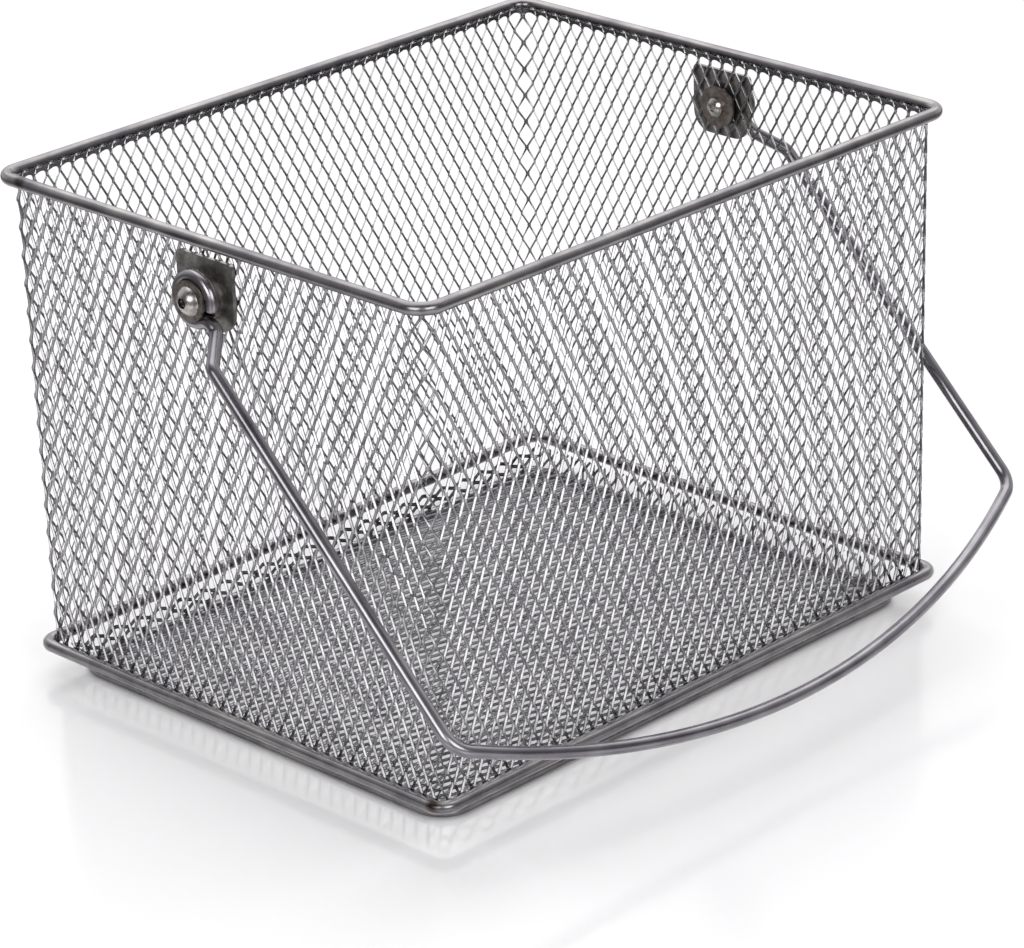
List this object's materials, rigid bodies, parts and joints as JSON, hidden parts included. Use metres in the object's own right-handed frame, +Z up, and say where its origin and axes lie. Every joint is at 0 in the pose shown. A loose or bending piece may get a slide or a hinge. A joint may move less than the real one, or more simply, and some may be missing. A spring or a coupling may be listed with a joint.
{
  "type": "wire locker basket",
  "caption": "Open-top basket of expanded steel mesh on round wire rings, with a folding wire bail that turns on a screw through each end wall.",
  "frame": {"origin": "the middle of the basket, on the surface that it stands on", "axes": "+Z up; +Y along the basket, parallel to the bail's pivots, from the front end to the back end; +X across it, towards the side where the folded bail lies"},
  "size_m": [0.2968, 0.3366, 0.22],
  "materials": {
    "ring_wire": "satin plated steel wire",
    "mesh_sheet": "plated expanded steel sheet, satin with bright cut edges",
    "bail_wire": "bright plated steel wire, semi-gloss",
    "polished_hardware": "polished stainless steel",
    "plain_hardware": "plain plated steel, satin"
  },
  "bodies": {
    "basket": {"top_rim": "ring_wire", "base_ring": "ring_wire", "foot_ring": "ring_wire", "mesh_front": "mesh_sheet", "mesh_back": "mesh_sheet", "mesh_left": "mesh_sheet", "mesh_right": "mesh_sheet", "mesh_floor": "mesh_sheet", "front_screw": "polished_hardware", "front_head_washer": "polished_hardware", "front_spacer_a": "plain_hardware", "front_spacer_b": "plain_hardware", "front_plate": "plain_hardware", "front_inner_washer": "plain_hardware", "front_nut": "polished_hardware", "back_screw": "polished_hardware", "back_head_washer": "polished_hardware", "back_spacer_a": "plain_hardware", "back_spacer_b": "plain_hardware", "back_plate": "plain_hardware", "back_inner_washer": "plain_hardware", "back_nut": "polished_hardware"},
    "bail": {"bail_handle": "bail_wire"}
  },
  "joints": [
    {"name": "bail_swing", "type": "hinge", "parent": "basket", "child": "bail", "pos_m": [0, 0, 0.1951], "axis": [0, -1, 0], "range_deg": [-7, 276]}
  ]
}
